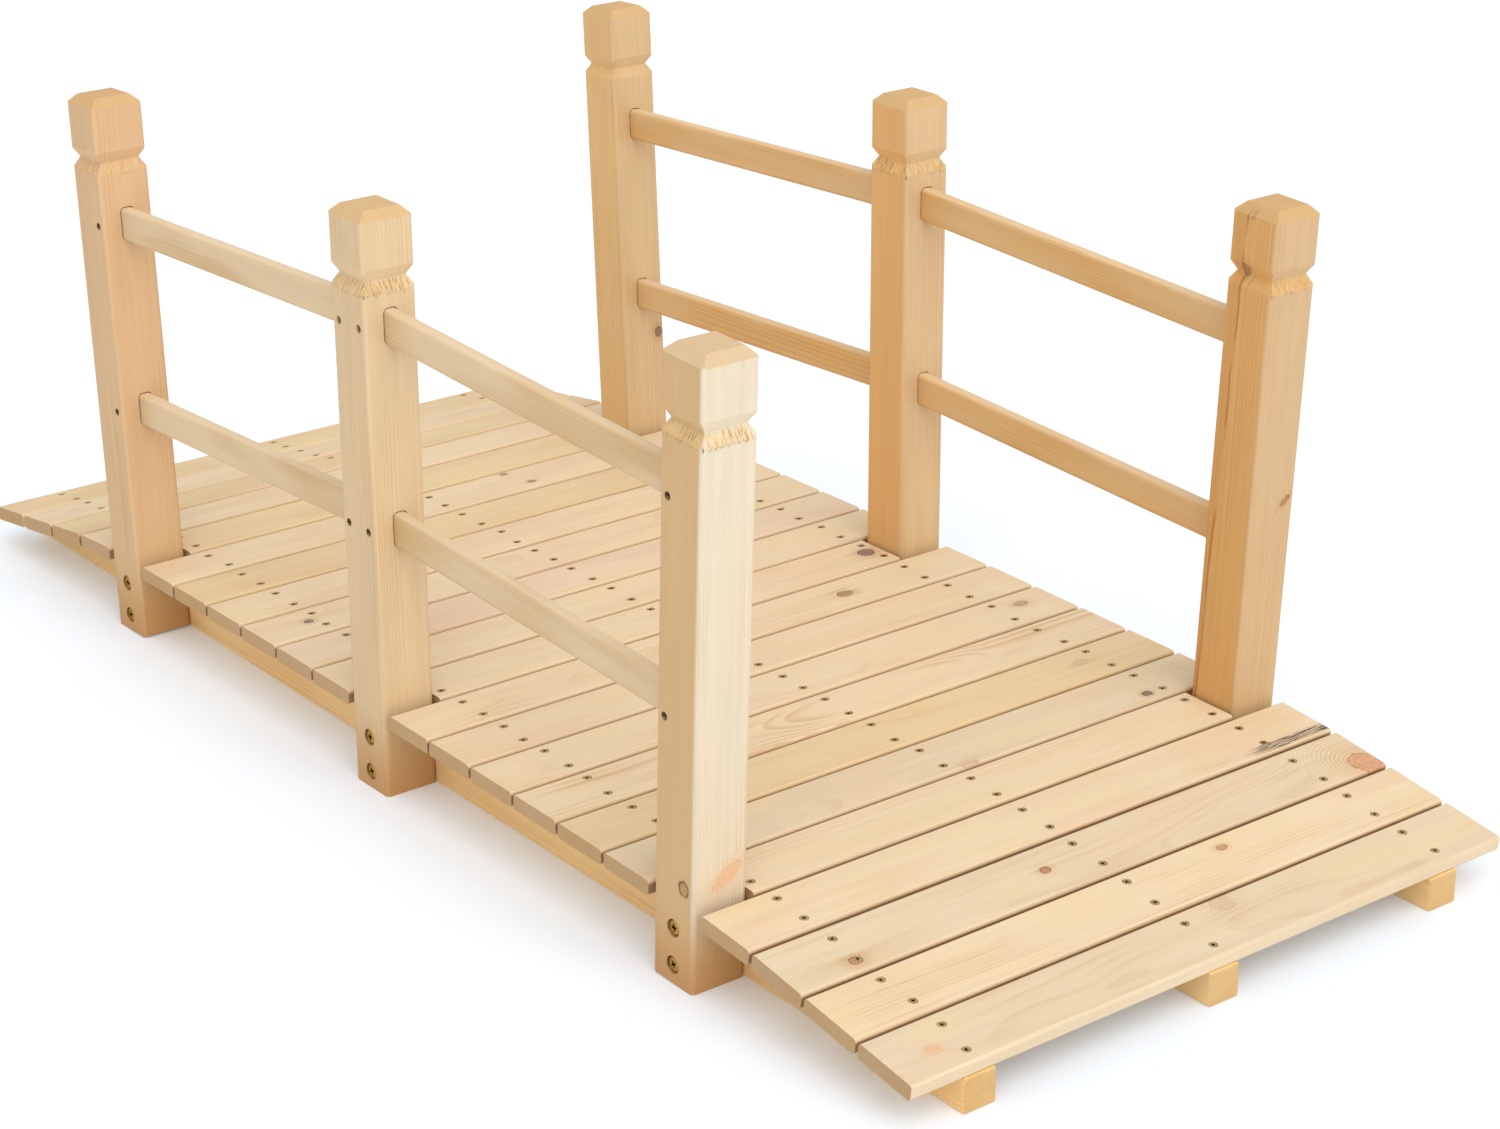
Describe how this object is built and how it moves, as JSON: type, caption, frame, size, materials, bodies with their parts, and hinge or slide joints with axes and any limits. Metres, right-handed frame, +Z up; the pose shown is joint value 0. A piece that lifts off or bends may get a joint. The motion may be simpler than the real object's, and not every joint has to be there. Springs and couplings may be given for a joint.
{
  "type": "garden bridge",
  "caption": "Low arched wooden garden footbridge with a plank deck on flat-footed stringers and a post-and-rail guard along each side.",
  "frame": {"origin": "on the floor, under the middle of the deck", "axes": "+X along the walkway to the right end, +Y across it to the back side, +Z up"},
  "size_m": [1.504, 0.656, 0.5454],
  "materials": {
    "deck_wood": "sanded, unpainted",
    "post_wood": "planed, unpainted",
    "rail_wood": "planed, unpainted",
    "stringer_wood": "planed, unpainted",
    "screws": "yellow zinc plated"
  },
  "bodies": {
    "root": {"front_stringer": "stringer_wood", "middle_stringer": "stringer_wood", "back_stringer": "stringer_wood", "front_post_left": "post_wood", "front_post_middle": "post_wood", "front_post_right": "post_wood", "back_post_left": "post_wood", "back_post_middle": "post_wood", "back_post_right": "post_wood", "front_upper_rail_left": "rail_wood", "front_upper_rail_right": "rail_wood", "front_lower_rail_left": "rail_wood", "front_lower_rail_right": "rail_wood", "back_upper_rail_left": "rail_wood", "back_upper_rail_right": "rail_wood", "back_lower_rail_left": "rail_wood", "back_lower_rail_right": "rail_wood", "deck_plank_01": "deck_wood", "deck_plank_02": "deck_wood", "deck_plank_03": "deck_wood", "deck_plank_04": "deck_wood", "deck_plank_05": "deck_wood", "deck_plank_06": "deck_wood", "deck_plank_07": "deck_wood", "deck_plank_08": "deck_wood", "deck_plank_09": "deck_wood", "deck_plank_10": "deck_wood", "deck_plank_11": "deck_wood", "deck_plank_12": "deck_wood", "deck_plank_13": "deck_wood", "deck_plank_14": "deck_wood", "deck_plank_15": "deck_wood", "deck_plank_16": "deck_wood", "deck_plank_17": "deck_wood", "deck_plank_18": "deck_wood", "deck_plank_19": "deck_wood", "deck_plank_20": "deck_wood", "deck_plank_21": "deck_wood", "deck_plank_22": "deck_wood", "deck_plank_23": "deck_wood"}
  },
  "joints": []
}
